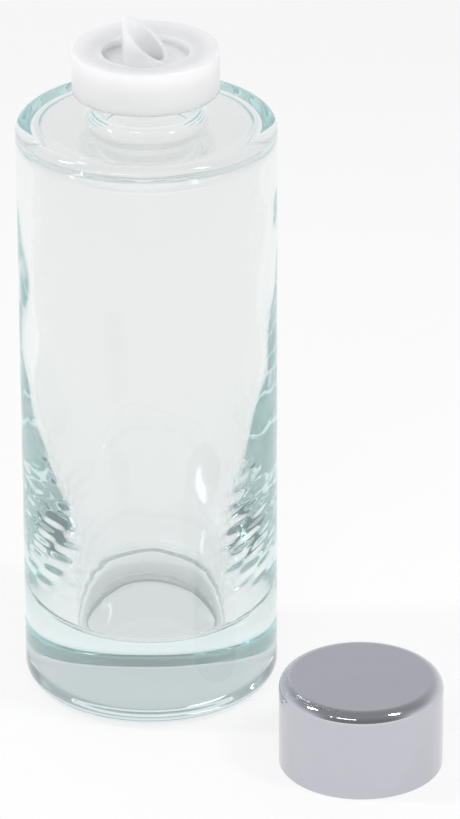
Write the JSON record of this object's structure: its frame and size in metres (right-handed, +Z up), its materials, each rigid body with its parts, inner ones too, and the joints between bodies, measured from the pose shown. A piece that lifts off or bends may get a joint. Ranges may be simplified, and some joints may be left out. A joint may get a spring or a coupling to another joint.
{
  "type": "oil bottle",
  "caption": "Cylindrical thick-based clear glass table bottle for oil, with a push-in plastic pourer with a slant-cut spout, and a push-on chrome cap that stands beside it.",
  "frame": {"origin": "centre of the bottle's foot, on the surface that it stands on", "axes": "+Z up the bottle's axis; +X to the right and +Y away from someone who faces the bottle with the cap standing at its front right"},
  "size_m": [0.0892, 0.0859, 0.153],
  "materials": {
    "glass": "clear, faint sea-green where it is thick",
    "pourer_plastic": "soft translucent white moulding, satin",
    "chrome": "bright plated, with fine handling marks",
    "liner_plastic": "white moulding, satin",
    "seal_foam": "matte foam"
  },
  "bodies": {
    "bottle": {"glass_bottle": "glass"},
    "pourer": {"pourer": "pourer_plastic"},
    "cap": {"cap_shell": "chrome", "cap_liner": "liner_plastic", "cap_seal": "seal_foam"}
  },
  "joints": [
    {"name": "pourer_pull", "type": "slide", "parent": "bottle", "child": "pourer", "axis": [0, 0, 1], "range_m": [0, 0.03]},
    {"name": "cap_lift", "type": "slide", "parent": "bottle", "child": "cap", "axis": [0, 0, 1], "range_m": [0, 0.16]}
  ]
}
